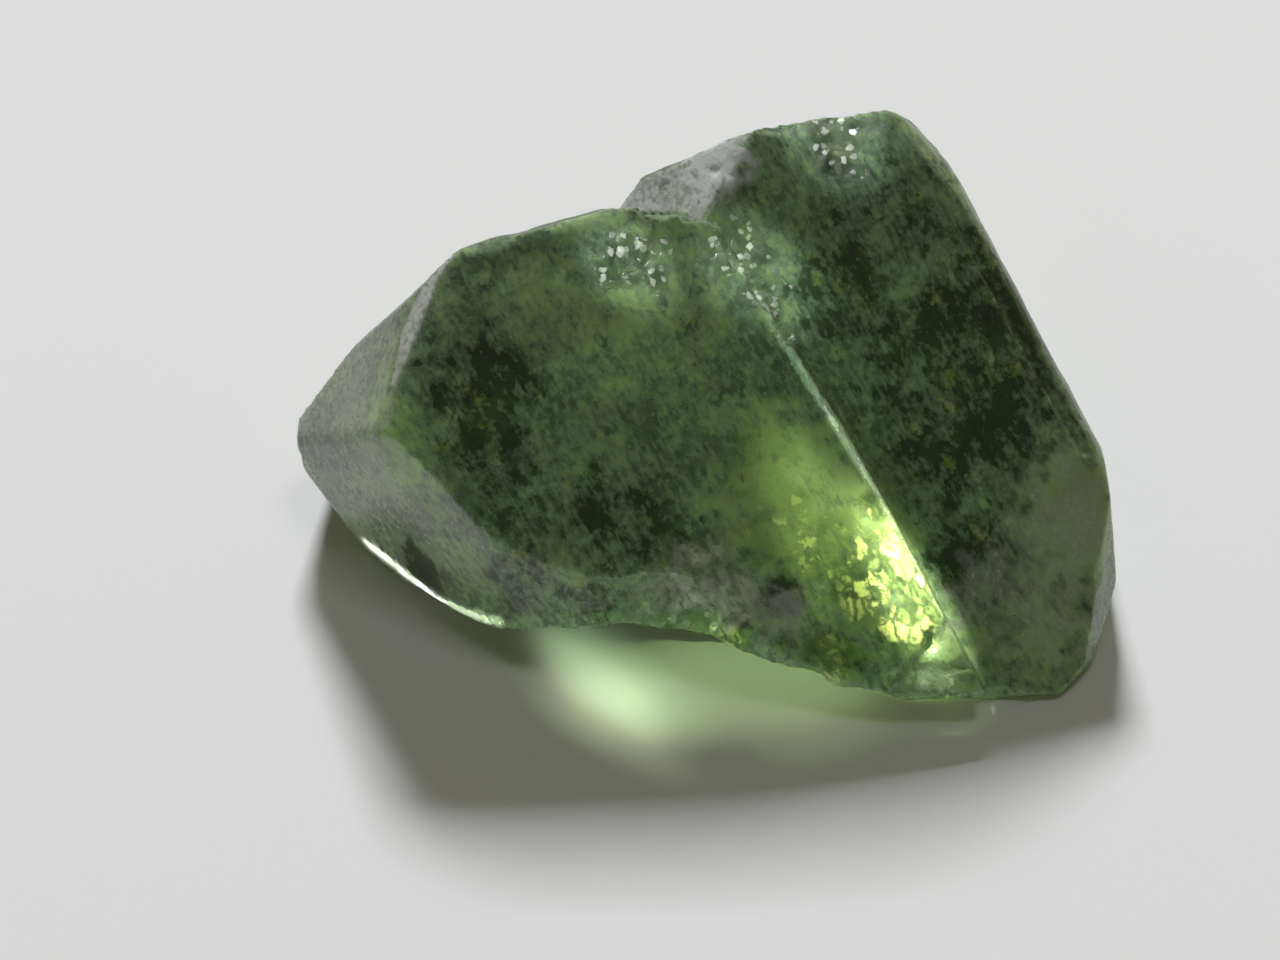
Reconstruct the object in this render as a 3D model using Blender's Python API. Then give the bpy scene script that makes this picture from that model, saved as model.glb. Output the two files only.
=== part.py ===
# A green peridot crystal that grew as one piece: two stones side by side, sharing one growth axis.
# The front is -Y and up is +Z. The shape is worked out in millimetres and scaled to metres at the end.

import math
import random

import bmesh
import bpy
from mathutils import Matrix, Vector, noise

NODE_NAME = "peridot_crystal"
METRES_PER_MM = 0.001
SEED = 7

# Both stones grew along one axis: its compass heading and how far it dips, in degrees.
GROWTH_HEADING = -55
GROWTH_DIP = 33

# Each stone is one broad face and the faces round it.
#   middle          a point on the broad face, mm
#   heading, slope  where the broad face looks and how steep it is, degrees
#   faces           turn: degrees round the broad face from the growth axis
#                   fold: degrees that the face folds down from the broad face
#                   reach: mm from the middle to the line where it meets the broad face
#   rounded         pairs of faces whose shared edge is worn round, and the radius of the rounding in mm
RIGHT_STONE = {
    "middle": (5.6, -1.0, 4.8),
    "heading": -82,
    "slope": 36,
    "faces": {
        "front": (-28, 70, 7.5),
        "front_corner": (20, 75, 7.4),
        "front_bevel": (52, 54, 4.95),
        "under_bevel": (40, 98, 6.45),
        "low_side": (68, 85, 4.35),
        "side": (89, 80, 3.4),
        "high_side": (103, 75, 4.5),
        "crown": (152, 66, 7.6),
        "shoulder": (-149, 42, 7.3),
        "shoulder_back": (163, 104, 7.8),
        "shoulder_end": (-159, 117, 10.3),
        "back": (146, 117, 8.6),
        "back_side": (112, 106, 8.0),
        "inner_end": (-89, 80, 6.9),
        "inner_front": (-60, 60, 6.6),
    },
    "rounded": (
        ("broad", "crown", 1.6), ("broad", "high_side", 1.3), ("crown", "high_side", 2.5), ("crown", "back", 1.2),
        ("broad", "side", 0.8), ("broad", "shoulder", 0.5),
    ),
}
LEFT_STONE = {
    "middle": (-1.8, -1.5, 5.45),
    "heading": -86,
    "slope": 35,
    "faces": {
        "low_wall": (88.5, 75, 4.3),
        "high_wall": (92.5, 62, 4.0),
        "crown": (145, 88, 4.9),
        "left_crown": (167, 88, 5.1),
        "upper_bevel": (-140, 51, 5.75),
        "tip_bevel": (-135, 57, 5.9),
        "upper_back": (176, 113, 5.7),
        "tip_back": (-175, 111, 6.4),
        "end_bevel": (-81, 64, 5.65),
        "low_end_bevel": (-76, 52, 5.15),
        "tip": (-121, 112, 10.4),
        "end_under": (-83, 123, 10.7),
        "end_foot": (-62, 109, 8.4),
        "lower_bevel": (-50, 33, 4.65),
        "undercut": (-32, 122, 7.1),
        "foot": (-21, 60, 8.55),
        "back": (150, 115, 8.3),
        "back_left": (-172, 110, 8.3),
    },
    "rounded": (
        ("broad", "upper_bevel", 2.2), ("broad", "tip_bevel", 1.4), ("broad", "left_crown", 0.8),
        ("left_crown", "upper_back", 3.0), ("upper_bevel", "upper_back", 0.8), ("tip_bevel", "end_bevel", 0.6),
        ("end_bevel", "low_end_bevel", 1.2), ("low_end_bevel", "lower_bevel", 1.0),
    ),
}
ROUND_STEPS = 3  # flats that a rounding is made of
WORN_EDGE = 0.08  # width in mm of the wear along every other sharp edge
SHARP_ANGLE = 18  # degrees from which an edge counts as sharp
MERGE = 0.01  # points of a stone nearer than this, in mm, are one point
BLANK_SIDE = 60.0  # side in mm of the block that a stone is cut from

# Conchoidal chips, each a shallow bowl with ripples spreading from where it was struck.
#   face            the face it is cut from, and near: a point in mm that is dropped square onto that face
#   size            length and width in mm, bite: its depth, lean: degrees the length is turned from level
#   ripple          height and spacing of the ripples, cell: size of its facets, all in mm
RIGHT_CHIPS = (
    ("side", (8.9, 0.6, 6.0), (1.2, 0.6), 0.1, 60, (0.01, 0.3), 0.16),
    ("front", (7.4, -7.1, 0.4), (1.6, 0.8), 0.16, 5, (0.02, 0.3), 0.18),
    ("front_bevel", (9.9, -4.4, 2.2), (1.2, 0.9), 0.1, 60, (0.01, 0.3), 0.18),
    # the shoulder, and the broken back
    ("shoulder", (1.2, 3.2, 8.6), (2.4, 1.1), 0.1, 30, (0.02, 0.5), 0.22),
    ("back", (4.6, 7.4, 4.4), (7.0, 5.4), 0.7, -20, (0.05, 1.0), 0.42),
    ("back_side", (9.0, 4.4, 3.4), (3.4, 2.2), 0.3, 70, (0.03, 0.7), 0.3),
    ("back", (1.4, 7.6, 1.4), (2.8, 2.2), 0.3, 20, (0.03, 0.6), 0.28),
    ("back_side", (8.2, 6.2, 0.6), (2.4, 1.8), 0.3, 10, (0.03, 0.6), 0.28),
    ("shoulder_back", (3.6, 5.0, 8.4), (2.2, 1.0), 0.16, 15, (0.02, 0.5), 0.22),
)
LEFT_CHIPS = (
    # the pale chip in the middle of the front, and the long scoop under the front rim
    ("lower_bevel", (-0.4, -5.7, 2.7), (5.4, 3.0), 0.55, 10, (0.02, 0.6), 0.2),
    ("undercut", (-1.2, -6.3, 0.9), (9.6, 3.6), 0.85, 8, (0.03, 1.2), 0.4),
    # the jagged top edge
    ("crown", (-1.4, 2.4, 7.8), (0.9, 1.3), 0.3, 70, (0.02, 0.3), 0.16),
    ("crown", (-0.5, 2.4, 7.8), (0.8, 1.2), 0.32, 100, (0.02, 0.3), 0.16),
    ("crown", (0.2, 2.2, 7.7), (1.3, 1.6), 0.3, 80, (0.03, 0.4), 0.18),
    # the splintered upper end of the step between the stones
    ("high_wall", (0.7, 1.7, 7.3), (1.6, 1.0), 0.34, 40, (0.03, 0.3), 0.16),
    ("high_wall", (1.3, 1.0, 6.9), (1.2, 0.8), 0.26, 55, (0.02, 0.3), 0.15),
    ("high_wall", (2.0, 0.2, 6.3), (1.0, 0.6), 0.16, 40, (0.02, 0.3), 0.14),
    ("low_wall", (4.6, -4.2, 3.6), (1.1, 0.4), 0.08, 40, (0.01, 0.3), 0.14),
    # nicks at the left end
    ("tip", (-10.6, 0.1, 1.8), (1.0, 0.7), 0.12, 20, (0.02, 0.3), 0.16),
    ("low_end_bevel", (-7.4, -4.3, 0.6), (1.4, 0.8), 0.1, 30, (0.02, 0.3), 0.18),
    # the broken back
    ("upper_back", (-4.0, 4.6, 2.8), (6.6, 5.2), 0.5, 15, (0.05, 1.0), 0.42),
    ("upper_back", (-7.4, 2.2, 3.4), (4.4, 3.4), 0.32, -40, (0.04, 0.8), 0.34),
    ("left_crown", (-3.4, 3.4, 6.4), (3.6, 1.7), 0.16, -15, (0.02, 0.5), 0.26),
    ("tip_back", (-9.3, 1.2, 1.2), (3.0, 2.2), 0.2, 35, (0.03, 0.6), 0.28),
)
# Shallow breaks along the rim of the base, which leave its middle flat.
BASE_CHIPS = (
    ((7.2, 6.6, 0), (3.0, 2.0), 0.18, 10, (0.02, 0.6), 0.3),
    ((-5.6, 1.4, 0), (3.2, 1.5), 0.16, 80, (0.02, 0.6), 0.3),
    ((9.7, 1.0, 0), (2.6, 1.4), 0.14, 110, (0.02, 0.6), 0.28),
    ((1.0, -5.4, 0), (3.6, 1.2), 0.16, 150, (0.02, 0.6), 0.3),
)

# Growth ledges: strips of a broad face that lie a little lower than the rest of it.
# Each is from and to along the growth axis, from and to across it, and how much lower, all in mm.
RIGHT_LEDGES = ((-9.0, 3.1, 2.75, 8.0, 0.11), (-9.0, -2.4, 2.3, 8.0, 0.06), (4.6, 9.0, -7.0, -2.6, 0.05))
LEFT_LEDGES = ((-8.0, -3.9, -9.0, 9.0, 0.06), (-8.0, 1.0, -9.0, -5.6, 0.06))

# Growth lines: fine grooves along the growth axis, scattered over part of a broad face.
# Each field is from and to along the axis, from and to across it, in mm, and how many grooves.
RIGHT_GROOVES = (-5.0, 5.0, -1.8, 2.4, 8)
LEFT_GROOVES = (-2.6, 5.0, -3.2, 3.4, 5)
GROOVE_LENGTH = (1.5, 4.0)
GROOVE_RADIUS = 0.14
GROOVE_DEPTH = 0.03

# Clusters of etch pits: the face, the middle of the cluster, its radius, the range of their lengths, all in mm,
# and how many there are. The last one of the left stone is the crusty front corner of the step.
PIT_DEPTH = 0.22  # of a pit's length
RIGHT_PITS = (
    ("broad", (3.3, 4.3, 8.9), 0.85, (0.22, 0.5), 13),
    ("shoulder", (0.4, 3.4, 8.0), 1.2, (0.22, 0.5), 6),
    ("side", (9.6, -0.6, 5.0), 1.5, (0.2, 0.4), 5),
    ("back", (2.6, 7.4, 5.6), 1.8, (0.3, 0.6), 7),
)
LEFT_PITS = (
    ("broad", (-2.0, 1.5, 7.2), 0.95, (0.22, 0.5), 15),
    ("upper_bevel", (-7.6, 0.4, 5.4), 1.1, (0.22, 0.45), 5),
    ("upper_back", (-5.6, 3.0, 4.6), 1.6, (0.3, 0.6), 8),
    ("crown", (-0.6, 5.0, 4.4), 1.6, (0.3, 0.6), 7),
    ("broad", (5.4, -7.1, 1.6), 1.35, (0.45, 1.0), 14),
)

BODY_GREEN = (0.17, 0.27, 0.06)
REFRACTIVE_INDEX = 1.67


def direction(heading, rise):
    """The unit vector with this compass heading and rise above level, in degrees."""
    heading, rise = math.radians(heading), math.radians(rise)
    return Vector((math.cos(heading) * math.cos(rise), math.sin(heading) * math.cos(rise), math.sin(rise)))


def axes_of(stone):
    """The stone's own axes: along its growth, across it, and out of its broad face."""
    out = direction(stone["heading"], 90 - stone["slope"])
    growth = direction(GROWTH_HEADING, -GROWTH_DIP)
    along = (growth - out * growth.dot(out)).normalized()
    return along, out.cross(along), out


def plane_of(stone, name):
    """A point on the named face and the face's outward normal."""
    along, across, out = axes_of(stone)
    middle = Vector(stone["middle"])
    if name == "base":
        return Vector((0, 0, 0)), Vector((0, 0, -1))
    if name == "broad":
        return middle, out
    turn, fold, reach = stone["faces"][name]
    turn, fold = math.radians(turn), math.radians(fold)
    aside = along * math.cos(turn) + across * math.sin(turn)
    return middle + aside * reach, aside * math.sin(fold) + out * math.cos(fold)


def rounding_planes(stone, first, second, radius):
    """Planes that touch a cylinder laid along the edge of two faces, which it also touches."""
    (point, normal), (other_point, other_normal) = plane_of(stone, first), plane_of(stone, second)
    between = normal.dot(other_normal)
    reach, other_reach = normal.dot(point) - radius, other_normal.dot(other_point) - radius
    share = (reach - between * other_reach) / (1 - between ** 2)
    other_share = (other_reach - between * reach) / (1 - between ** 2)
    middle = normal * share + other_normal * other_share
    for step in range(1, ROUND_STEPS + 1):
        facing = normal.slerp(other_normal, step / (ROUND_STEPS + 1))
        yield middle + facing * radius, facing


def cut(bm, point, normal):
    """Removes what lies beyond the plane and closes the cut with one face."""
    geometry = bm.verts[:] + bm.edges[:] + bm.faces[:]
    result = bmesh.ops.bisect_plane(
        bm, geom=geometry, dist=1e-5, plane_co=point, plane_no=normal, clear_outer=True
    )
    rim = [item for item in result["geom_cut"] if isinstance(item, bmesh.types.BMEdge)]
    if rim:
        bmesh.ops.contextual_create(bm, geom=rim)


def hull_of(bm):
    """The convex skin round the mesh's points, which drops the needle faces that bevels leave at corners."""
    skin = bmesh.new()
    for vert in bm.verts:
        skin.verts.new(vert.co)
    bm.free()
    bmesh.ops.remove_doubles(skin, verts=skin.verts, dist=MERGE)
    made = bmesh.ops.convex_hull(skin, input=skin.verts)
    inside = {item for item in made["geom_interior"] + made["geom_unused"] if isinstance(item, bmesh.types.BMVert)}
    bmesh.ops.delete(skin, geom=list(inside), context="VERTS")
    bmesh.ops.dissolve_limit(skin, angle_limit=math.radians(0.2), verts=skin.verts, edges=skin.edges)
    bmesh.ops.recalc_face_normals(skin, faces=skin.faces)
    return skin


def stone_mesh(stone):
    """One stone as a faceted solid with worn edges. It goes on below the floor, where both are cut together."""
    bm = bmesh.new()
    bmesh.ops.create_cube(bm, size=BLANK_SIDE)
    for name in ("broad", *stone["faces"]):
        cut(bm, *plane_of(stone, name))
    for pair in stone["rounded"]:
        for point, normal in rounding_planes(stone, *pair):
            cut(bm, point, normal)
    cut(bm, Vector((0, 0, -2)), Vector((0, 0, -1)))
    sharp = [edge for edge in bm.edges if edge.calc_face_angle(0) > math.radians(SHARP_ANGLE)]
    bmesh.ops.bevel(
        bm, geom=sharp, offset=WORN_EDGE,
        segments=1, profile=0.5, affect="EDGES", material=-1, clamp_overlap=True,
    )
    return hull_of(bm)


def bowl(size, bite, ripple, cell, chance):
    """A cutter with a rippled bowl as its lower side: the bowl's middle lies at -bite and its rim at 0."""
    length, width = size
    height, spacing = ripple
    bm = bmesh.new()
    wide = 1.25
    bmesh.ops.create_grid(
        bm, x_segments=max(3, round(wide * length / cell)), y_segments=max(3, round(wide * width / cell)),
        size=0.5,
    )
    struck = Vector((-0.45 * length, chance.uniform(-0.2, 0.2) * width))
    shift = Vector((chance.uniform(0, 50), chance.uniform(0, 50), 0))
    for vert in bm.verts:
        x, y = vert.co.x * wide * length, vert.co.y * wide * width
        far = (Vector((x, y)) - struck).length
        rim = (2 * x / length) ** 2 + (2 * y / width) ** 2
        wave = math.sin(2 * math.pi * far / spacing) * height
        rough = noise.noise(Vector((x, y, 0)) / (3 * cell) + shift) * bite * 0.3
        vert.co = Vector((x, y, bite * (rim - 1) + wave + rough))
    bottom = bm.faces[:]
    top = bmesh.ops.extrude_face_region(bm, geom=bottom, use_keep_orig=True)
    lifted = [item for item in top["geom"] if isinstance(item, bmesh.types.BMVert)]
    for vert in lifted:
        vert.co.z = max(vert.co.z + 0.5, 2 * bite + 0.5)
    bmesh.ops.recalc_face_normals(bm, faces=bm.faces)
    return bm


def chip_cutter(stone, face, near, size, bite, lean, ripple, cell, chance):
    """A bowl set on the named face, its length turned from level by lean."""
    point, normal = plane_of(stone, face)
    near = Vector(near)
    place = near - normal * (near - point).dot(normal)
    level = Vector((1, 0, 0)) if face == "base" else Vector((0, 0, 1)).cross(normal).normalized()
    level = Matrix.Rotation(math.radians(lean), 3, normal) @ level
    frame = Matrix((level, normal.cross(level), normal)).transposed().to_4x4()
    bm = bowl(size, bite, ripple, cell, chance)
    bm.transform(Matrix.Translation(place) @ frame)
    return bm


def ledge_cutter(stone, start, end, inner, outer, drop):
    """A block whose underside lies a little below the broad face."""
    along, across, out = axes_of(stone)
    bm = bmesh.new()
    bmesh.ops.create_cube(bm, size=1)
    bmesh.ops.scale(bm, vec=(end - start, outer - inner, 2), verts=bm.verts)
    bmesh.ops.translate(bm, vec=((start + end) / 2, (inner + outer) / 2, 1 - drop), verts=bm.verts)
    frame = Matrix((along, across, out)).transposed().to_4x4()
    bm.transform(Matrix.Translation(Vector(stone["middle"])) @ frame)
    return bm


def groove_cutter(stone, field, chance):
    """A slim spindle lying along the growth axis, sunk into the broad face."""
    along, across, out = axes_of(stone)
    length = chance.uniform(*GROOVE_LENGTH)
    x = chance.uniform(field[0], field[1])
    y = chance.uniform(field[2], field[3])
    radius = GROOVE_RADIUS * chance.uniform(0.7, 1.3)
    bm = bmesh.new()
    bmesh.ops.create_uvsphere(bm, u_segments=8, v_segments=6, radius=1)
    bmesh.ops.scale(bm, vec=(radius, radius, length / 2), verts=bm.verts)
    frame = Matrix((across, out, along)).transposed().to_4x4()
    place = Vector(stone["middle"]) + along * x + across * y + out * (radius - GROOVE_DEPTH)
    bm.transform(Matrix.Translation(place) @ frame)
    return bm


def pit_cutter(stone, face, middle, spread, lengths, chance):
    """A small bowl at a random place near the middle of its cluster."""
    away = direction(chance.uniform(0, 360), chance.uniform(-60, 60)) * spread * chance.random()
    length = chance.uniform(*lengths)
    size = (length, length * chance.uniform(0.5, 0.9))
    lean = chance.uniform(0, 180)
    return chip_cutter(
        stone, face, Vector(middle) + away, size, length * PIT_DEPTH, lean, (0, 1), length / 4, chance
    )


def object_from(bm, name):
    mesh = bpy.data.meshes.new(name)
    bm.to_mesh(mesh)
    bm.free()
    made = bpy.data.objects.new(name, mesh)
    bpy.context.scene.collection.objects.link(made)
    return made


def combine(body, bm, operation):
    """Joins the shape to the body, or cuts it away, and drops it."""
    tool = object_from(bm, "tool")
    boolean = body.modifiers.new("combine", "BOOLEAN")
    boolean.operation = operation
    boolean.solver = "EXACT"
    boolean.object = tool
    bpy.context.view_layer.update()
    graph = bpy.context.evaluated_depsgraph_get()
    result = bpy.data.meshes.new_from_object(body.evaluated_get(graph))
    body.modifiers.clear()
    used, body.data = body.data, result
    bpy.data.meshes.remove(used)
    used = tool.data
    bpy.data.objects.remove(tool)
    bpy.data.meshes.remove(used)


def crystal_material():
    material = bpy.data.materials.new("peridot")
    material.use_nodes = True
    shader = material.node_tree.nodes["Principled BSDF"]
    shader.inputs["Base Color"].default_value = (*BODY_GREEN, 1)
    shader.inputs["Transmission Weight"].default_value = 1
    shader.inputs["IOR"].default_value = REFRACTIVE_INDEX
    shader.inputs["Roughness"].default_value = 0.2
    return material


def build_stone(name, stone, ledges, grooves, chips, clusters, chance):
    """One stone with its ledges, growth lines, chips and pits cut in."""
    body = object_from(stone_mesh(stone), name)
    for ledge in ledges:
        combine(body, ledge_cutter(stone, *ledge), "DIFFERENCE")
    for _ in range(grooves[-1]):
        combine(body, groove_cutter(stone, grooves, chance), "DIFFERENCE")
    for chip in chips:
        combine(body, chip_cutter(stone, *chip, chance), "DIFFERENCE")
    for face, middle, spread, lengths, count in clusters:
        for _ in range(count):
            combine(body, pit_cutter(stone, face, middle, spread, lengths, chance), "DIFFERENCE")
    return body


def build_crystal():
    chance = random.Random(SEED)
    body = build_stone(
        NODE_NAME, RIGHT_STONE, RIGHT_LEDGES, RIGHT_GROOVES, RIGHT_CHIPS, RIGHT_PITS, chance
    )
    left = build_stone("left", LEFT_STONE, LEFT_LEDGES, LEFT_GROOVES, LEFT_CHIPS, LEFT_PITS, chance)
    joined = bmesh.new()
    joined.from_mesh(left.data)
    bpy.data.objects.remove(left)
    combine(body, joined, "UNION")

    bm = bmesh.new()
    bm.from_mesh(body.data)
    cut(bm, *plane_of(RIGHT_STONE, "base"))
    bm.to_mesh(body.data)
    for chip in BASE_CHIPS:
        combine(body, chip_cutter(RIGHT_STONE, "base", *chip, chance), "DIFFERENCE")

    bm.clear()
    bm.from_mesh(body.data)
    low = [min(vert.co[axis] for vert in bm.verts) for axis in range(3)]
    high = [max(vert.co[axis] for vert in bm.verts) for axis in range(3)]
    bottom_centre = Vector(((low[0] + high[0]) / 2, (low[1] + high[1]) / 2, low[2]))
    bmesh.ops.translate(bm, vec=-bottom_centre, verts=bm.verts)
    bmesh.ops.scale(bm, vec=[METRES_PER_MM] * 3, verts=bm.verts)
    bmesh.ops.recalc_face_normals(bm, faces=bm.faces)
    bm.to_mesh(body.data)
    bm.free()
    body.data.materials.clear()
    body.data.materials.append(crystal_material())
    print("moved by", [round(value, 3) for value in -bottom_centre])
    return body


for old in list(bpy.data.objects):
    bpy.data.objects.remove(old, do_unlink=True)
build_crystal()
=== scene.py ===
import math
import random

import bmesh
import bpy
from mathutils import Matrix, Vector, noise
from mathutils.bvhtree import BVHTree


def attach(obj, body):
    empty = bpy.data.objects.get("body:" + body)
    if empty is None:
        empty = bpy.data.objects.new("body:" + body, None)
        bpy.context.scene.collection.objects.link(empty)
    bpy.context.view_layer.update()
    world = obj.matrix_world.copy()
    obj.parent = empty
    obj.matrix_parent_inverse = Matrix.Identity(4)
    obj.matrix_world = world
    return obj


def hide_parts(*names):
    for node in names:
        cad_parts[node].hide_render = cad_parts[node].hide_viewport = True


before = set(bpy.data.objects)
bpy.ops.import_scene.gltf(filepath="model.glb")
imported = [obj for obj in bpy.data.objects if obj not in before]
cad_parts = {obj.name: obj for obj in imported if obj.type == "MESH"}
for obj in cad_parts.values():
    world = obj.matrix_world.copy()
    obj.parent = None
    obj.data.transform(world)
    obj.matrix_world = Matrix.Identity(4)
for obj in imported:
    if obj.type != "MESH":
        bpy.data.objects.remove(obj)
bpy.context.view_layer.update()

mm = 0.001


def linear(hexColour):
    channels = [int(hexColour[i:i + 2], 16) / 255 for i in (1, 3, 5)]
    return tuple(c / 12.92 if c <= 0.04045 else ((c + 0.055) / 1.055) ** 2.4 for c in channels)


def colour(hexColour):
    return (*linear(hexColour), 1)


def direction(heading, rise):
    heading, rise = math.radians(heading), math.radians(rise)
    return Vector((math.cos(heading) * math.cos(rise), math.sin(heading) * math.cos(rise), math.sin(rise)))


def addNode(tree, kind, settings=None, inputs=None):  # inputs by name, or as a list in the node's own order
    node = tree.nodes.new(kind)
    for name, value in (settings or {}).items():
        setattr(node, name, value)
    for name, value in inputs.items() if isinstance(inputs, dict) else enumerate(inputs or ()):
        if isinstance(value, bpy.types.Node):  # a node stands for its first output
            value = value.outputs[0]
        if isinstance(value, bpy.types.NodeSocket):
            tree.links.new(value, node.inputs[name])
        else:
            node.inputs[name].default_value = value
    return node


def newMaterial(name):
    material = bpy.data.materials.new(name)
    material.use_nodes = True
    material.node_tree.nodes.clear()
    return material, material.node_tree


def putInScene(name, data, material=None):
    piece = bpy.data.objects.new(name, data)
    bpy.context.scene.collection.objects.link(piece)
    if material:
        data.materials.append(material)
    return piece


# the crystal's growth frame, as in the solid: along the growth axis, across it, and out of the broad faces
growth = direction(-55, -33)
faceOut = direction(-84, 54.5)
along = (growth - faceOut * growth.dot(faceOut)).normalized()
across = faceOut.cross(along)
leftFace = Vector((1.39, -2.56, 4.61)).dot(faceOut) * mm  # how far out the left stone's broad face lies

# the straight step between the two stones: its top, a point on it and its foot, in mm
stepTop, stepMiddle, stepFoot = (0.52, 1.78, 7.38), (4.18, -3.11, 4.09), (6.6, -6.6, 1.5)
stepSide = (Vector(stepFoot) - Vector(stepTop)).cross(faceOut).normalized()
if stepSide.x > 0:
    stepSide.negate()  # it points to the left stone

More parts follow.
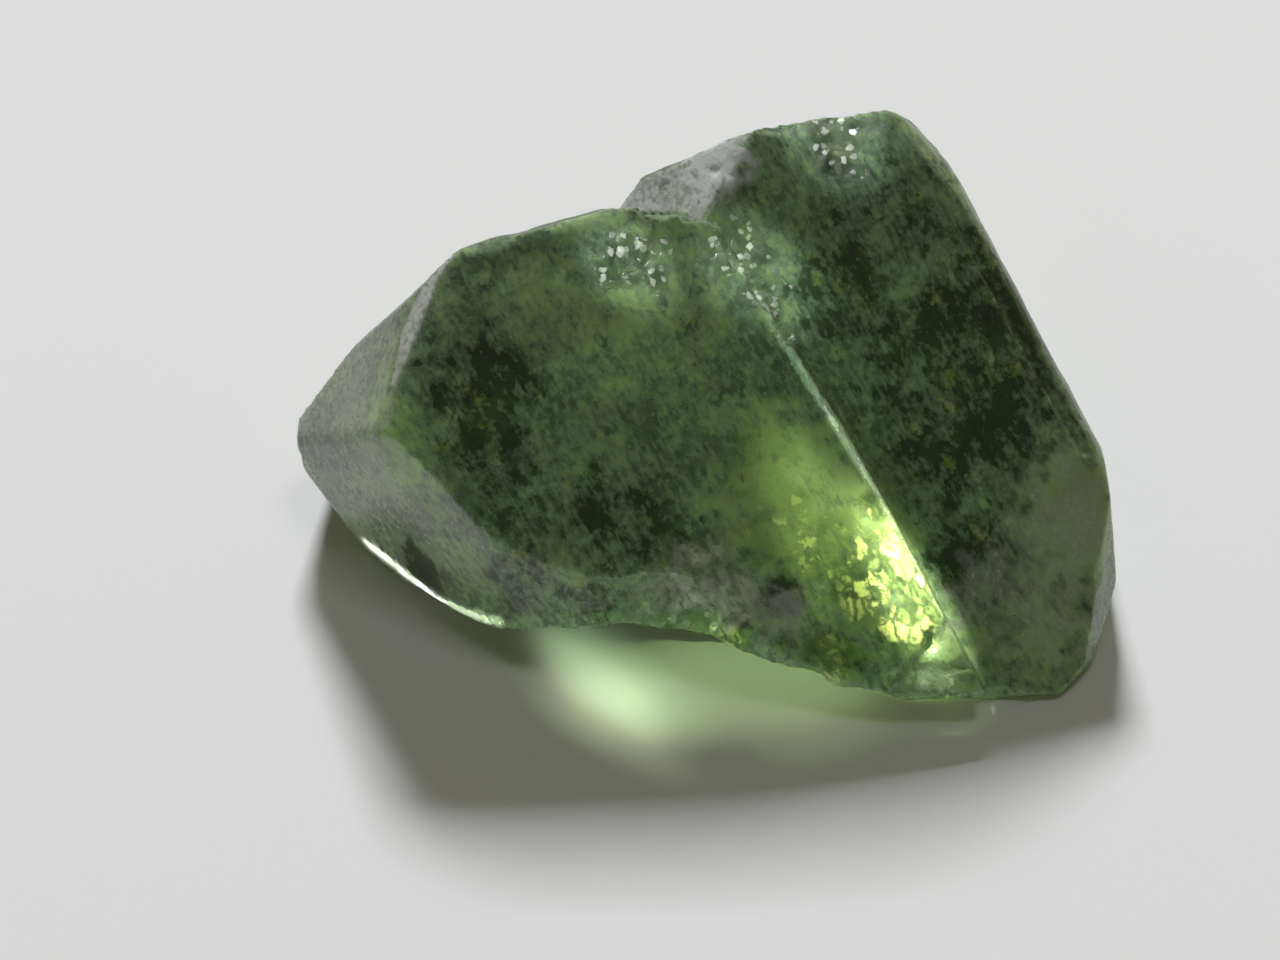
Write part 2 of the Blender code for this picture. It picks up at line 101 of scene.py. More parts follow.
crystal = {
    "cell": 0.1,              # mm between the fine mesh's points
    "soften": 3,              # passes that round the worn edges
    "clear": "#b8d896",       # tint of the clear stone
    "cloudy": "#819c7e",      # tint of the cloudy stone
    "dusk": "#364a34",        # tint of the darkest stone
    "paintedGlow": "#e4f29a",        # painted glow: the brightest cells by the step, painted as the light that comes through
    "dimPaintedGlow": "#9fc04a",        # dullest of the painted glow cells
    "frostSheenColour": "#c8ccca",       # pale frost and painted sheen on worn facets
    "paintedGlint": "#eef2ec",       # painted glints on the tiny facets in the pits
    "milk": 0.46,             # share of the light that the cloudy stone scatters back
    "blotch": 1.5,            # mm, size of the blotches
    "fleck": 0.17,            # mm, size of the flecks
    "line": 0.13,             # mm, spacing of the growth lines
    "cellSize": 0.34,         # mm, size of the painted glow cells by the step
    "sliver": 0.42,           # mm, size of the pale and dark slivers
    "grain": 0.22,            # mm, size of the facets in the pits and of their painted glints
    "shake": 0.22,            # mm, size of the raggedness of cells, slivers and grains
    "streak": 0.65,           # how far the flecks are drawn out along the growth, 1 is not at all
    "lineStreak": 0.15,       # the same for the growth lines
    "depthColour": (0.45, 0.64, 0.28, 1),  # red, green and blue that the stone lets through; it absorbs the rest
    "depth": 150.0,           # absorption per metre
    "ior": 1.67,
    "polish": 0.2,            # roughness of the cleanest growth faces
    "frostRough": 0.4,        # roughness of the frost with its painted sheen
    "hiddenRough": (0.35, 0.75),  # least and most roughness of the base and back
    "hiddenRelief": 0.035,    # mm, waviness of the base and back
    "hiddenSwell": 0.08,      # mm, broad swells of the base and back, cut inwards only
    "faceRelief": 0.008,      # mm, waviness of the broad faces
    "pitDepth": 0.05,         # mm, depth of the small etch pits
    # facets with frost under a painted pale sheen, a painted reflection of bright surroundings: heading and rise of the
    # way they face, spread in degrees, how strong, and the mm below the left broad face over which the sheen sets in
    "bloomFacets": (
        (-160, 57, 13, 1.1, 0), (-170, 40, 26, 0.6, 2.4), (-134, 3, 20, 0.5, 0), (-124, 12, 12, 0.22, 0),
        (-26, 20, 20, 0.5, 0),
    ),
    # worn lines and painted highlights, from and to in mm, radius in mm, and how strong
    "wornAndHighlightLines": (
        # the wall of the step, a pale line painted as its highlight
        (stepTop, stepMiddle, 0.1, 0.7), (stepMiddle, stepFoot, 0.08, 0.7),
        ((8.43, -4.23, 2.26), (7.77, -6.13, 0.96), 0.07, 0.5),  # a scratch on the right stone
        ((-1.77, -5.65, 1.91), (-1.01, -5.11, 2.95), 0.08, 0.6),  # the rim of the chip, five stretches
        ((-1.01, -5.11, 2.95), (-0.38, -4.78, 3.15), 0.08, 0.7),
        ((-0.38, -4.78, 3.15), (0.63, -4.86, 3.04), 0.08, 0.7),
        ((0.63, -4.86, 3.04), (1.38, -5.26, 2.73), 0.07, 0.6),
        ((1.38, -5.26, 2.73), (2.77, -5.74, 2.32), 0.06, 0.4),
        ((-8.9, -2.15, 0.35), (-6.8, -4.2, 0.3), 0.24, 0.95),  # the rim at the left end, a painted highlight, three stretches
        ((-6.8, -4.2, 0.45), (-5.9, -4.95, 0.8), 0.2, 0.8),
        ((-5.9, -4.95, 0.8), (-5.0, -5.45, 1.2), 0.16, 0.5),
    ),
    # the rest are places: middle and radius in mm, and how strong
    "pits": (  # clusters of etch pits, dented into the surface, with painted glints on their tiny facets
        ((-1.9, 1.28, 7.36), 1.05, 1.0), ((3.36, 4.31, 8.8), 1.0, 1.0), ((0.75, 1.75, 7.35), 0.95, 0.95),
        ((1.6, 0.75, 6.75), 0.85, 0.85), ((2.2, 0.0, 6.2), 0.5, 0.5), ((5.8, -7.3, 1.0), 0.9, 0.7),
        ((7.6, -5.6, 1.35), 0.7, 0.55), ((-0.4, -5.7, 2.2), 1.5, 0.55),
    ),
    "softFrostAndSheen": (  # where the frost and painted sheen lie soft: the chip, the right end, the far bevel and the foot of the step
        ((-0.4, -5.36, 2.45), 1.0, 0.85), ((0.6, -5.6, 2.5), 1.0, 0.75), ((1.7, -5.9, 2.2), 0.8, 0.5),
        ((-1.4, -5.5, 2.2), 0.7, 0.5), ((9.4, -3.4, 2.7), 1.6, 0.4), ((0.28, 3.85, 8.3), 1.0, 1.3),
        ((7.9, -5.2, 1.7), 1.7, 0.34), ((5.7, -7.4, 1.1), 0.9, 0.4),
    ),
    "noSheen": (  # where the frost and painted sheen are left off
        ((-7.45, -3.6, 1.05), 0.95, 1.0), ((-6.6, -4.4, 0.9), 0.9, 0.8), ((-4.7, -5.2, 2.3), 1.2, 0.8),
        ((-5.6, -5.0, 1.4), 0.8, 0.8),
    ),
    "clearZones": (
        ((5.3, -5.4, 2.5), 1.1, 0.5), ((4.7, -4.3, 3.3), 1.2, 0.5), ((2.2, -3.6, 4.0), 2.4, 0.5),
        ((-3.67, 0.0, 6.7), 1.5, 0.35), ((-1.0, 0.5, 6.7), 2.0, 0.25), ((-7.6, -1.9, 4.4), 1.4, 0.3),
        ((9.3, -3.2, 2.8), 1.7, 0.9), ((8.2, -5.3, 1.6), 1.6, 0.5),
    ),
    "duskZones": (
        ((6.6, -0.4, 5.0), 3.2, 0.6), ((7.0, -4.6, 2.2), 1.6, 0.55), ((5.8, -2.4, 3.9), 1.5, 0.6),
        ((7.6, 1.0, 6.2), 2.2, 0.55), ((5.0, 2.8, 7.6), 2.2, 0.25), ((8.0, -3.6, 2.8), 1.6, 0.3),
        ((3.6, 0.9, 6.6), 1.6, 0.4), ((-5.7, -1.7, 5.6), 1.8, 0.6), ((-7.4, -3.7, 1.0), 1.0, 0.8),
        ((-2.2, -4.1, 3.7), 1.5, 0.45), ((-4.6, -3.4, 4.0), 1.4, 0.3), ((-4.5, -5.1, 2.4), 1.2, 0.5),
        ((-3.0, -5.6, 2.0), 1.0, 0.3), ((2.0, -5.5, 2.5), 0.55, 1.0), ((0.9, -6.05, 1.95), 0.35, 0.8),
    ),
    "paintedGlowZones": (  # left of the step, where cells are painted bright as the light coming through the stone, and lamps light them
        ((5.8, -5.7, 2.2), 0.55, 1.0), ((5.5, -5.2, 2.6), 0.8, 1.0), ((5.0, -4.5, 3.1), 0.6, 0.8),
        ((4.4, -3.6, 3.7), 0.5, 0.65), ((5.0, -6.0, 2.0), 1.0, 0.7), ((4.2, -5.2, 2.7), 1.4, 0.6),
        ((3.0, -4.6, 3.3), 1.3, 0.42), ((2.0, -3.9, 3.9), 1.1, 0.35), ((3.2, -6.9, 1.3), 0.9, 0.5),
        ((1.3, -3.0, 4.4), 1.2, 0.25), ((1.6, -4.7, 3.4), 1.0, 0.3), ((0.7, -6.3, 1.6), 0.5, 0.7),
    ),
}


def fineMesh(cadNode, cell, passes):
    bm = bmesh.new()
    bm.from_mesh(cadNode.data)
    bmesh.ops.remove_doubles(bm, verts=bm.verts, dist=0.002 * mm)
    bmesh.ops.recalc_face_normals(bm, faces=bm.faces)
    rough = bpy.data.meshes.new("crystal rough out")
    bm.to_mesh(rough)
    bm.free()
    helper = putInScene("rough out", rough)
    remesh = helper.modifiers.new("remesh", "REMESH")
    remesh.mode = "SHARP"
    remesh.octree_depth = 8
    remesh.scale = min(0.99, max(helper.dimensions) / (cell * mm * 2 ** remesh.octree_depth))
    remesh.use_remove_disconnected = True
    bpy.context.view_layer.update()
    made = bpy.data.meshes.new_from_object(helper.evaluated_get(bpy.context.evaluated_depsgraph_get()))
    bpy.data.objects.remove(helper)
    bm = bmesh.new()
    bm.from_mesh(made)
    for _ in range(passes):
        bmesh.ops.smooth_vert(bm, verts=bm.verts, factor=0.5, use_axis_x=True, use_axis_y=True, use_axis_z=True)
    bm.to_mesh(made)
    print("fine mesh:", len(bm.faces), "faces")
    bm.free()
    return made


def waves(point, size, shift=0):  # smooth noise with features of the given size in mm
    return noise.noise(point / (size * mm) + Vector((shift, shift * 0.7, shift * 1.3)))


def smooth(low, high, value):
    t = max(0, min(1, (value - low) / (high - low)))
    return t * t * (3 - 2 * t)


def nearPlaces(point, places, ragged):  # the strongest of the places at a point, fading out with a ragged rim
    most = 0
    for middle, radius, strength in places:
        far = (point - Vector(middle) * mm).length / (radius * mm)
        if far < 1.6:
            most = max(most, strength * (1 - smooth(0.5, 1.15, far + ragged * waves(point, 0.5, 20))))
    return most


def nearLines(point, lines):
    most = 0
    for start, end, radius, strength in lines:
        start, end = Vector(start) * mm, Vector(end) * mm
        share = max(0, min(1, (point - start).dot(end - start) / (end - start).length_squared))
        far = (point - start.lerp(end, share)).length / (radius * mm)
        if far < 1.4:
            most = max(most, strength * (1 - smooth(0.6, 1.2, far)) * (0.75 + 0.6 * waves(point, 0.5, 3)))
    return most


def frostAndPaintedSheenAt(point, normal):  # how pale a point is: frost, with painted sheen and painted highlights
    most = max(nearPlaces(point, crystal["softFrostAndSheen"], 0.9), nearLines(point, crystal["wornAndHighlightLines"]))
    sunk = leftFace - point.dot(faceOut)
    for heading, rise, spread, strength, setIn in crystal["bloomFacets"]:
        turned = normal.dot(direction(heading, rise))
        if setIn:
            strength *= smooth(0, setIn * mm, sunk + 0.3 * mm * waves(point, 0.7, 12))
        inside = smooth(math.cos(math.radians(spread)), math.cos(math.radians(spread * 0.35)), turned)
        patchy = 0.8 + 0.35 * waves(point, 1.6, 31) + 0.15 * waves(point, 0.4, 7)
        most = max(most, inside * strength * patchy * (1 - nearPlaces(point, crystal["noSheen"], 0.6)))
    return most


def clearAt(point):  # above 0 the stone is clearer, below 0 it is darker
    return nearPlaces(point, crystal["clearZones"], 0.5) - nearPlaces(point, crystal["duskZones"], 0.5)


def paintedGlowAt(point):  # where the glow of light through the stone is painted, only left of the step
    left = smooth(0.0, 0.1 * mm, (point - Vector(stepMiddle) * mm).dot(stepSide))
    return left * nearPlaces(point, crystal["paintedGlowZones"], 0.4)


def hiddenAt(normal):  # 1 on the base and the back
    return max(smooth(-0.1, -0.5, normal.z), smooth(0.1, 0.45, normal.y))


def relief(point, normal, hidden, pitted):  # how far a point of the surface moves out, in metres
    wave = waves(point, 0.9, 3) + 0.6 * waves(point, 0.45, 9)
    stretched = along * (point.dot(along) * 0.15) + across * point.dot(across) + faceOut * point.dot(faceOut)
    lines = waves(stretched, 0.3, 5)
    height = hidden * crystal["hiddenRelief"] * wave + (1 - hidden) * crystal["faceRelief"] * (lines + 0.5 * wave)
    swell = smooth(-0.2, 0.5, waves(point, 2.2, 60) + 0.4 * waves(point, 1.0, 61))
    height -= hidden * crystal["hiddenSwell"] * swell
    height -= pitted * crystal["pitDepth"] * smooth(0.0, 0.45, waves(point, 0.28, 40))
    if normal.z < -0.97:
        height = min(height, 0)  # the base stays on the paper
    return height * mm


def wornAt(bm):  # how convex the surface is at each point, which is where wear shows
    worn = []
    for vert in bm.verts:
        bend = sum((vert.co - edge.other_vert(vert).co).normalized().dot(vert.normal) for edge in vert.link_edges)
        away = 1 - smooth(0, 0.4, vert.normal.y)  # edges that face the window light are left green, without wear, so that they don't glint
        worn.append(away * smooth(0.06, 0.24, bend / max(1, len(vert.link_edges))))
    around = [[edge.other_vert(vert).index for edge in vert.link_edges] for vert in bm.verts]
    return [(value + sum(worn[other] for other in others)) / (1 + len(others)) for value, others in zip(worn, around)]


def growthCoordinates(tree, place, squeeze):  # object coordinates in the growth frame, shortened along the growth
    parts = [
        addNode(tree, "ShaderNodeVectorMath", {"operation": "DOT_PRODUCT"}, [place, axis]).outputs["Value"]
        for axis in (along * squeeze, across, faceOut)
    ]
    return addNode(tree, "ShaderNodeCombineXYZ", {}, parts)


# peridot as it grew: a soft gloss over murky green that the light enters, with frosted facets under a painted sheen,
# painted glints in the pits and a painted glow by the step
def crystalMaterial():
    material, tree = newMaterial("peridot, natural growth faces")
    place = addNode(tree, "ShaderNodeTexCoord").outputs["Object"]
    grown = growthCoordinates(tree, place, crystal["streak"])
    drawn = growthCoordinates(tree, place, crystal["lineStreak"])
    bloom, hidden, clear, pitted, worn, paintedGlow = (
        addNode(tree, "ShaderNodeAttribute", {"attribute_name": name}).outputs["Fac"]
        for name in ("bloom", "hidden", "clear", "pitted", "worn", "paintedGlow")
    )
    multiply = {"operation": "MULTIPLY", "use_clamp": True}
    larger = {"operation": "MAXIMUM", "use_clamp": True}

    # the murk: blotches, flecks and growth lines, shifted by the clear and dark zones
    blotch = addNode(tree, "ShaderNodeTexNoise", {}, {
        "Vector": place, "Scale": 1000 / crystal["blotch"], "Detail": 5.0, "Roughness": 0.72, "Distortion": 0.4})
    fleck = addNode(tree, "ShaderNodeTexNoise", {}, {
        "Vector": grown, "Scale": 1000 / crystal["fleck"], "Detail": 3.0, "Roughness": 0.6})
    lines = addNode(tree, "ShaderNodeTexNoise", {}, {
        "Vector": drawn, "Scale": 1000 / crystal["line"], "Detail": 2.0, "Roughness": 0.6})
    shake = addNode(tree, "ShaderNodeTexNoise", {}, {
        "Vector": place, "Scale": 1000 / crystal["shake"], "Detail": 3.0}).outputs["Color"]
    fine = addNode(tree, "ShaderNodeMix", {"data_type": "FLOAT"}, {0: 0.25, 2: fleck, 3: lines})
    both = addNode(tree, "ShaderNodeMix", {"data_type": "FLOAT"}, {0: 0.5, 2: blotch, 3: fine})
    contrast = addNode(tree, "ShaderNodeMapRange", {}, [both, 0.36, 0.6, 0, 1])
    murk = addNode(tree, "ShaderNodeMath", {"operation": "ADD"}, [contrast, clear])

    # sparse slivers within the stone, some pale and some dark
    sliverPlace = addNode(tree, "ShaderNodeMix", {"data_type": "VECTOR"}, {0: 0.0007, 4: grown, 5: shake}).outputs[1]
    slivers = addNode(tree, "ShaderNodeTexVoronoi", {}, {"Vector": sliverPlace, "Scale": 1000 / crystal["sliver"]})
    sliverTone = addNode(tree, "ShaderNodeSeparateColor", {}, [slivers.outputs["Color"]])
    sliverCore = addNode(tree, "ShaderNodeMapRange", {}, [slivers, 0.5, 0.1, 0, 1])
    paleTone = addNode(tree, "ShaderNodeMapRange", {}, [sliverTone, 0.7, 0.9, 0, 0.4])
    paleSliver = addNode(tree, "ShaderNodeMath", multiply, [sliverCore, paleTone])
    darkTone = addNode(tree, "ShaderNodeMapRange", {}, [sliverTone, 0.5, 0.1, 0, 0.4])
    darkSliver = addNode(tree, "ShaderNodeMath", multiply, [sliverCore, darkTone])
    murk = addNode(tree, "ShaderNodeMath", {"operation": "SUBTRACT"}, [murk, darkSliver])
    tint = addNode(tree, "ShaderNodeValToRGB", {}, [addNode(tree, "ShaderNodeMapRange", {}, [murk, -0.3, 1.3, 0, 1])])
    stops = tint.color_ramp.elements
    stops[0].position, stops[0].color = 0.15, colour(crystal["dusk"])
    stops[1].position, stops[1].color = 0.85, colour(crystal["clear"])
    stops.new(0.5).color = colour(crystal["cloudy"])

    # painted glow by the step, as the light through the stone: ragged blocks of uneven brightness with dark seams
    # between
    cellPlace = addNode(tree, "ShaderNodeMix", {"data_type": "VECTOR"}, {0: 0.00025, 4: grown, 5: shake}).outputs[1]
    cellShape = {"Vector": cellPlace, "Scale": 1000 / crystal["cellSize"]}
    cells = addNode(tree, "ShaderNodeTexVoronoi", {}, cellShape)
    seams = addNode(tree, "ShaderNodeTexVoronoi", {"feature": "DISTANCE_TO_EDGE"}, cellShape)
    cellTone = addNode(tree, "ShaderNodeSeparateColor", {}, [cells.outputs["Color"]]).outputs[1]
    inCell = addNode(tree, "ShaderNodeMapRange", {}, [seams, 0, 0.2, 0.25, 1])
    uneven = addNode(tree, "ShaderNodeMapRange", {}, [cellTone, 0, 0.7, 0.25, 1])
    flecked = addNode(tree, "ShaderNodeMapRange", {}, [fleck, 0.35, 0.5, 0.4, 1])
    paintedCellGlow = addNode(tree, "ShaderNodeMath", multiply, [inCell, uneven])
    paintedCellGlow = addNode(tree, "ShaderNodeMath", multiply, [paintedCellGlow, flecked])
    inPaintedGlow = addNode(tree, "ShaderNodeMapRange", {}, [paintedGlow, 0, 0.8, 0, 1.2])
    paintedGlowAndSlivers = addNode(tree, "ShaderNodeMath", multiply, [inPaintedGlow, paintedCellGlow])
    paintedGlowAndSlivers = addNode(tree, "ShaderNodeMath", larger, [paintedGlowAndSlivers, paleSliver])
    paintedGlowTone = addNode(tree, "ShaderNodeMix", {"data_type": "RGBA"}, {
        0: cellTone, 6: colour(crystal["dimPaintedGlow"]), 7: colour(crystal["paintedGlow"])}).outputs[2]
    stone = addNode(tree, "ShaderNodeMix", {"data_type": "RGBA"}, {0: paintedGlowAndSlivers, 6: tint, 7: paintedGlowTone}).outputs[2]

    # the tiny facets of the pits, painted as bright glints of uneven size with green between them
    grainPlace = addNode(tree, "ShaderNodeMix", {"data_type": "VECTOR"}, {0: 0.00025, 4: place, 5: shake}).outputs[1]
    grains = addNode(tree, "ShaderNodeTexVoronoi", {}, {"Vector": grainPlace, "Scale": 1000 / crystal["grain"]})
    grainCore = addNode(tree, "ShaderNodeMapRange", {}, [grains, 0.55, 0.35, 0, 1])
    grainTone = addNode(tree, "ShaderNodeSeparateColor", {}, [grains.outputs["Color"]])
    grainTone = addNode(tree, "ShaderNodeMapRange", {}, [grainTone, 0.35, 0.9, 0.3, 1])
    paintedPitGlints = addNode(tree, "ShaderNodeMath", multiply, [grainCore, grainTone])
    paintedPitGlints = addNode(tree, "ShaderNodeMath", multiply, [paintedPitGlints, pitted])

    # the frost with its painted sheen, broken up by the flecks, cracked along the seams where the stone is pitted, with
    # the painted glints of the pits and wear on the edges
    patchy = addNode(tree, "ShaderNodeMapRange", {}, [fine, 0.38, 0.58, 0.65, 1.1])
    patchyFrostAndSheen = addNode(tree, "ShaderNodeMath", multiply, [bloom, patchy])
    cracks = addNode(tree, "ShaderNodeMapRange", {}, [seams, 0, 0.3, 0.5, 1])
    cracked = addNode(tree, "ShaderNodeMath", multiply, [patchyFrostAndSheen, cracks])
    inPits = addNode(tree, "ShaderNodeMapRange", {}, [pitted, 0, 0.5, 0, 1])
    broken = addNode(tree, "ShaderNodeMix", {"data_type": "FLOAT"}, {0: inPits, 2: patchyFrostAndSheen, 3: cracked})
    flecked = addNode(tree, "ShaderNodeMapRange", {}, [fleck, 0.35, 0.6, 0.1, 0.4])
    wear = addNode(tree, "ShaderNodeMath", multiply, [worn, flecked])
    frostSheenAndGlints = addNode(tree, "ShaderNodeMath", larger, [broken, paintedPitGlints])
    frostSheenAndGlints = addNode(tree, "ShaderNodeMath", larger, [frostSheenAndGlints, wear])
    frostSheenColour = addNode(tree, "ShaderNodeMix", {"data_type": "RGBA"}, {
        0: paintedPitGlints, 6: colour(crystal["frostSheenColour"]), 7: colour(crystal["paintedGlint"])}).outputs[2]
    skin = addNode(tree, "ShaderNodeMix", {"data_type": "RGBA"}, {0: frostSheenAndGlints, 6: stone, 7: frostSheenColour}).outputs[2]

    # how much light passes: less in milky and dark stone, under the frost, sheen and glints and under the painted glow,
    # more beside the painted glow and in the pits, where the stone is less milky
    milk = crystal["milk"]
    seen = addNode(tree, "ShaderNodeMapRange", {}, [hidden, 0, 1, milk, 0.3 * milk])
    besidePaintedGlow = addNode(tree, "ShaderNodeMapRange", {}, [paintedGlow, 0, 0.6, 1, 0.3])
    milky = addNode(tree, "ShaderNodeMath", multiply, [seen, besidePaintedGlow])
    inDusk = addNode(tree, "ShaderNodeMapRange", {}, [clear, 0, -1, 0, 0.4])
    milky = addNode(tree, "ShaderNodeMath", {"operation": "ADD", "use_clamp": True}, [milky, inDusk])
    besidePits = addNode(tree, "ShaderNodeMapRange", {}, [pitted, 0, 1, 1, 0.4])
    milky = addNode(tree, "ShaderNodeMath", multiply, [milky, besidePits])
    covered = addNode(tree, "ShaderNodeMath", larger, [frostSheenAndGlints, paintedGlowAndSlivers])
    covered = addNode(tree, "ShaderNodeMapRange", {}, [covered, 0, 1, 0, 0.85])
    opaque = addNode(tree, "ShaderNodeMath", larger, [milky, covered])
    through = addNode(tree, "ShaderNodeMath", {"operation": "SUBTRACT", "use_clamp": True}, [1, opaque])

    rough = addNode(tree, "ShaderNodeMapRange", {}, [frostSheenAndGlints, 0, 1, crystal["polish"], crystal["frostRough"]])
    hiddenRough = addNode(tree, "ShaderNodeMapRange", {}, [blotch, 0.35, 0.6, *crystal["hiddenRough"]])
    roughness = addNode(tree, "ShaderNodeMix", {"data_type": "FLOAT"}, {0: hidden, 2: rough, 3: hiddenRough})
    bumps = addNode(tree, "ShaderNodeMath", {"operation": "MULTIPLY_ADD"}, [paintedPitGlints, 2.5, fleck])
    grain = addNode(tree, "ShaderNodeBump", {}, {"Height": bumps, "Strength": 0.5, "Distance": 0.04 * mm})
    shader = addNode(tree, "ShaderNodeBsdfPrincipled", {}, {
        "Base Color": skin, "Transmission Weight": through, "Roughness": roughness,
        "Normal": grain, "IOR": crystal["ior"]})
    inside = addNode(tree, "ShaderNodeVolumeAbsorption", {}, {
        "Color": crystal["depthColour"], "Density": crystal["depth"]})
    addNode(tree, "ShaderNodeOutputMaterial", {}, {"Surface": shader, "Volume": inside})
    return material


print("crystal")
mesh = fineMesh(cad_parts["peridot_crystal"], crystal["cell"], crystal["soften"])
bm = bmesh.new()
bm.from_mesh(mesh)
bm.normal_update()
points = [(vert.co.copy(), vert.normal.copy()) for vert in bm.verts]
# masks on the points; among them the frost with its painted sheen and highlights, and the painted glow by the step
painted = {
    "bloom": [frostAndPaintedSheenAt(point, normal) for point, normal in points],
    "hidden": [hiddenAt(normal) for point, normal in points],
    "pitted": [nearPlaces(point, crystal["pits"], 0.7) for point, normal in points],
    "clear": [clearAt(point) for point, normal in points],
    "worn": wornAt(bm),
    "paintedGlow": [paintedGlowAt(point) for point, normal in points],
}
for vert, (point, normal), hidden, pitted in zip(bm.verts, points, painted["hidden"], painted["pitted"]):
    vert.co = point + normal * relief(point, normal, hidden, pitted)
bm.to_mesh(mesh)
bm.free()
for name, values in painted.items():
    mesh.attributes.new(name, "FLOAT", "POINT").data.foreach_set("value", values)
for face in mesh.polygons:
    face.use_smooth = True
mesh.set_sharp_from_angle(angle=math.radians(60))
mesh.materials.clear()
crystalPiece = putInScene("peridot", mesh, crystalMaterial())
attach(crystalPiece, "root")
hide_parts("peridot_crystal")

print("inclusions")
# slivers inside the stone, which give it depth and murk: how many, longest side and depth in mm, least and most
inclusions = {
    "dark_grains": {  # dull dark green grains
        "material": "chromite, grown in", "count": 900, "long": (0.06, 0.26), "flat": 0.25, "depth": (0.12, 1.8),
        "colour": "#385030", "roughness": 0.6, "seed": 4},
    "pale_cracks": {  # thin veils that catch the light
        "material": "peridot, healed cracks", "count": 900, "long": (0.06, 0.34), "flat": 0.1, "depth": (0.1, 0.9),
        "colour": "#9dbb7c", "roughness": 0.3, "seed": 9},
}


def scatterInside(name, kind, skin, spots):
    chance = random.Random(kind["seed"])
    bm = bmesh.new()
    made = 0
    while made < kind["count"]:
        point, normal = chance.choice(spots)
        deep = kind["depth"][0] + (kind["depth"][1] - kind["depth"][0]) * chance.random() ** 1.5
        longSide = kind["long"][0] + (kind["long"][1] - kind["long"][0]) * chance.random() ** 2
        place = point - normal * deep * mm
        nearest, faceNormal, _, distance = skin.find_nearest(place)
        if (place - nearest).dot(faceNormal) > 0 or distance < (longSide * 0.6 + 0.08) * mm:
            continue  # outside, or too near the surface
        added = bmesh.ops.create_icosphere(bm, subdivisions=1, radius=longSide / 2 * mm)["verts"]
        lean = direction(chance.uniform(0, 360), chance.uniform(-90, 90)) * 0.35
        turn = (along + lean).to_track_quat("X", "Z").to_matrix() @ Matrix.Rotation(chance.uniform(0, math.tau), 3, "X")
        size = Matrix.Diagonal((1, chance.uniform(0.25, 0.7), kind["flat"] * chance.uniform(0.6, 1.6)))
        for vert in added:
            ragged = 1 + 0.9 * noise.noise(vert.co * 9000 + Vector((made, 0, 0)))
            vert.co = place + turn @ (size @ (vert.co * ragged))
        made += 1
    made = bpy.data.meshes.new(name)
    bm.to_mesh(made)
    bm.free()
    return made


skin = BVHTree.FromPolygons([vert.co for vert in mesh.vertices], [face.vertices for face in mesh.polygons])
spots = [(vert.co.copy(), vert.normal.copy()) for vert in list(mesh.vertices)[::7]]
fronts = [spot for spot in spots if spot[1].dot(faceOut) > 0.5]  # most lie under the broad faces
for name, kind in inclusions.items():
    material, tree = newMaterial(kind["material"])
    place = addNode(tree, "ShaderNodeTexCoord").outputs["Object"]
    cloud = addNode(tree, "ShaderNodeTexNoise", {}, {"Vector": place, "Scale": 1000 / 0.15, "Detail": 2.0})
    dark = (*(0.45 * c for c in linear(kind["colour"])), 1)
    shade = addNode(tree, "ShaderNodeMix", {"data_type": "RGBA"}, {
        0: cloud, 6: colour(kind["colour"]), 7: dark}).outputs[2]
    shader = addNode(tree, "ShaderNodeBsdfPrincipled", {}, {"Base Color": shade, "Roughness": kind["roughness"]})
    addNode(tree, "ShaderNodeOutputMaterial", {}, {"Surface": shader})
    piece = putInScene(name, scatterInside(name, kind, skin, spots + fronts * 3), material)
    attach(piece, "root")

print("floor")
paper = {"colour": "#e5e5e6", "roughness": 0.85, "half": 0.4}  # half its width in metres
material, tree = newMaterial("uncoated white paper")  # matt and very slightly grey
shader = addNode(tree, "ShaderNodeBsdfPrincipled", {}, {
    "Base Color": colour(paper["colour"]), "Roughness": paper["roughness"]})
addNode(tree, "ShaderNodeOutputMaterial", {}, {"Surface": shader})
bm = bmesh.new()
bmesh.ops.create_grid(bm, x_segments=1, y_segments=1, size=paper["half"])
bmesh.ops.translate(bm, vec=(0, 0, -0.01 * mm), verts=bm.verts)
floorMesh = bpy.data.meshes.new("floor")
bm.to_mesh(floorMesh)
bm.free()
putInScene("floor", floorMesh, material)

print("light")
# soft lights: heading and rise they shine from, distance, width and height in metres, watts, tone
softLights = {
    "window light": (94.5, 30.5, 1.2, 0.24, 0.14, 21.5, "#f9faff"),
    "panel behind the crystal": (92, 24, 0.5, 0.8, 0.36, 2.8, "#fdfff8"),
    "overhead light": (38, 74, 0.4, 0.1, 0.1, 0.16, "#fbfff4"),
    "low front light": (-110, 4, 0.5, 0.3, 0.03, 0.4, "#f6f8ff"),
}
lamps = {}
for name, (heading, rise, distance, width, height, power, tone) in softLights.items():
    lamp = lamps[name] = putInScene(name, bpy.data.lights.new(name, "AREA"))
    lamp.data.shape = "RECTANGLE"
    lamp.data.size = width
    lamp.data.size_y = height
    lamp.data.color = linear(tone)
    lamp.data.energy = power
    lamp.location = direction(heading, rise) * distance
    lamp.rotation_euler = (-direction(heading, rise)).to_track_quat("-Z", "Y").to_euler()
    lamp.visible_camera = lamp.visible_glossy = False
lamps["window light"].visible_transmission = False  # the panel stands in for it there
lamps["low front light"].visible_transmission = False
lamps["panel behind the crystal"].visible_diffuse = False  # only what is seen through the crystal

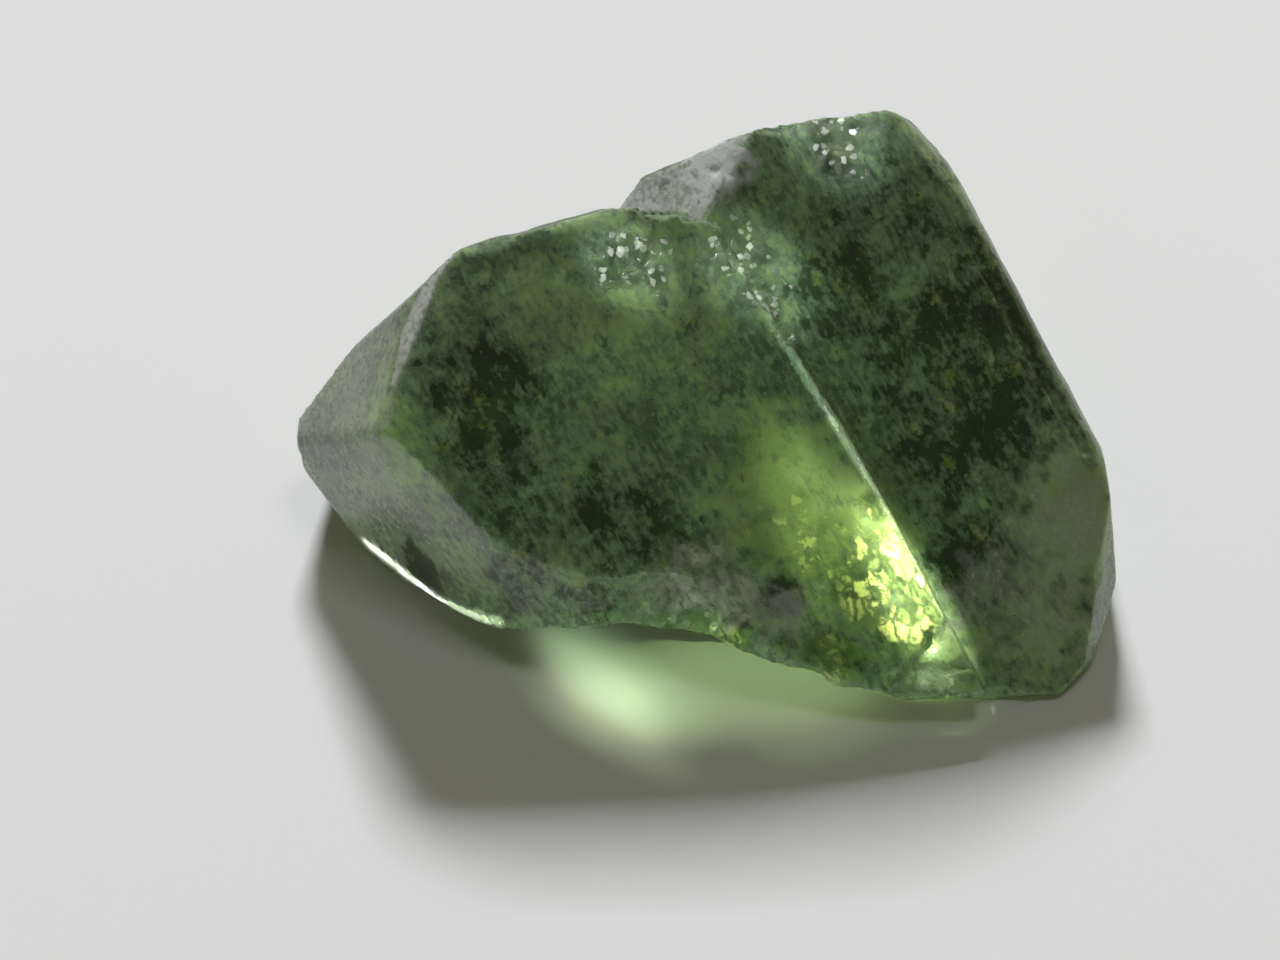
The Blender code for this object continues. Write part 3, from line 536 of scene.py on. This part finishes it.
# light that the crystal gathers, on the paper, on the painted glow cells and in the pits: where it lands in mm, heading
# and rise it comes from, radius in mm, red, green and blue, and watts
gathered = (
    ((0.7, -6.3, 0), (-168, 25), 2.3, (0.66, 0.95, 0.4), 0.46),  # the glow on the paper
    ((-2.2, -6.2, 0), (-42, 20), 1.2, (0.66, 0.97, 0.5), 0.42),
    ((-2.6, -6.6, 0), (-45, 24), 0.85, (0.75, 1.0, 0.62), 0.62),
    ((-2.5, -7.7, 0), (-38, 20), 0.22, (0.9, 1.0, 0.6), 0.3),
    ((3.0, -7.8, 0), (-160, 32), 1.3, (0.7, 0.95, 0.4), 0.12),
    ((5.1, -5.2, 2.6), (125, 56), 0.54, (0.97, 1.0, 0.68), 8.5),  # the cells left of the step
    ((4.4, -4.7, 3.0), (125, 56), 0.95, (0.95, 1.0, 0.58), 2.4),
    ((2.6, -3.9, 3.8), (125, 56), 1.3, (0.9, 1.0, 0.52), 1.3),
    ((-1.9, 1.28, 7.36), (180, 60), 1.3, (0.95, 1.0, 0.92), 0.9),  # the pits
    ((3.36, 4.31, 8.8), (180, 60), 1.4, (0.95, 0.97, 1.0), 0.9),
    ((1.4, 1.2, 7.0), (180, 60), 1.6, (0.95, 1.0, 0.92), 0.9),
)
for number, (place, comesFrom, radius, tone, power) in enumerate(gathered):
    lamp = putInScene(f"gathered {number}", bpy.data.lights.new(f"gathered {number}", "SPOT"))
    lamp.location = Vector(place) * mm + direction(*comesFrom) * 0.12
    lamp.rotation_euler = (-direction(*comesFrom)).to_track_quat("-Z", "Y").to_euler()
    lamp.data.spot_size = 2 * math.atan(radius / 120)
    lamp.data.spot_blend = 1.0
    lamp.data.shadow_soft_size = 0.3 * mm
    lamp.data.color = tone
    lamp.data.energy = power
    lamp.visible_camera = lamp.visible_glossy = False

# the same along lines, the rim at the left end and the wall of the step: from and to in mm, heading and rise it
# comes from, width in mm, tone and strength
strips = (
    ((-8.9, -2.15, 0.45), (-6.8, -4.2, 0.45), (-130, 4), 0.22, "#fffff0", 8.0),
    ((-6.8, -4.2, 0.5), (-5.2, -5.35, 1.1), (-125, 9), 0.22, "#f6ffe0", 6.0),
    (stepTop, stepMiddle, (-84, 54.5), 0.05, "#f6fff0", 2.6),
    (stepMiddle, stepFoot, (-84, 54.5), 0.05, "#f6fff0", 1.3),
)
for number, (start, end, comesFrom, wide, tone, strength) in enumerate(strips):
    lamp = putInScene(f"strip {number}", bpy.data.lights.new(f"strip {number}", "AREA"))
    start, end, way = Vector(start) * mm, Vector(end) * mm, direction(*comesFrom)
    line = (end - start).normalized()
    way = (way - line * way.dot(line)).normalized()
    turn = Matrix((line, way.cross(line), way)).transposed().to_4x4()
    lamp.matrix_world = Matrix.Translation((start + end) / 2 + way * 2.5 * mm) @ turn
    lamp.data.shape = "RECTANGLE"
    lamp.data.size = (end - start).length
    lamp.data.size_y = wide * mm
    lamp.data.spread = math.radians(8)
    lamp.data.color = linear(tone)
    lamp.data.energy = strength * lamp.data.size * (wide + 0.25) * mm
    lamp.visible_camera = lamp.visible_glossy = lamp.visible_transmission = False

# a dim room: brightest at the horizon, more behind the crystal than in front of it
room = {"horizon": 0.5, "front": 0.12, "above": 0.03, "colour": "#f6f2b4", "from": 0.3, "to": 0.72}
world = bpy.data.worlds.new("studio")
bpy.context.scene.world = world
world.use_nodes = True
tree = world.node_tree
tree.nodes.clear()
outward = addNode(tree, "ShaderNodeSeparateXYZ", {}, [addNode(tree, "ShaderNodeTexCoord").outputs["Generated"]])
ring = addNode(tree, "ShaderNodeMapRange", {"interpolation_type": "SMOOTHSTEP"}, [
    outward.outputs["Z"], room["to"], room["from"], 0, 1])
behind = addNode(tree, "ShaderNodeMapRange", {}, [outward.outputs["Y"], -0.6, 0.8, room["front"], room["horizon"]])
amount = addNode(tree, "ShaderNodeMath", {"operation": "MULTIPLY"}, [ring, behind])
amount = addNode(tree, "ShaderNodeMath", {"operation": "ADD"}, [amount, room["above"]])
back = addNode(tree, "ShaderNodeBackground", {}, {"Color": colour(room["colour"]), "Strength": amount})
addNode(tree, "ShaderNodeOutputWorld", {}, {"Surface": back})

print("camera")
view = {"rise": 50, "lens": 100, "sensor": 36, "pixelsPerMm": 37.3, "target": (-1.642, 0.323, 0)}
camera = putInScene("camera", bpy.data.cameras.new("camera"))
camera.data.lens = view["lens"]
camera.data.sensor_width = view["sensor"]
camera.data.clip_start = 0.001
far = view["lens"] / view["sensor"] * 1280 / view["pixelsPerMm"] * mm
look = -direction(-90, view["rise"])
camera.location = Vector(view["target"]) * mm - look * far
camera.rotation_euler = look.to_track_quat("-Z", "Y").to_euler()
scene = bpy.context.scene
scene.camera = camera
scene.cycles.use_denoising = True
scene.cycles.max_bounces = 14
scene.cycles.transmission_bounces = 12
scene.cycles.glossy_bounces = 8
scene.view_settings.view_transform = "Standard"
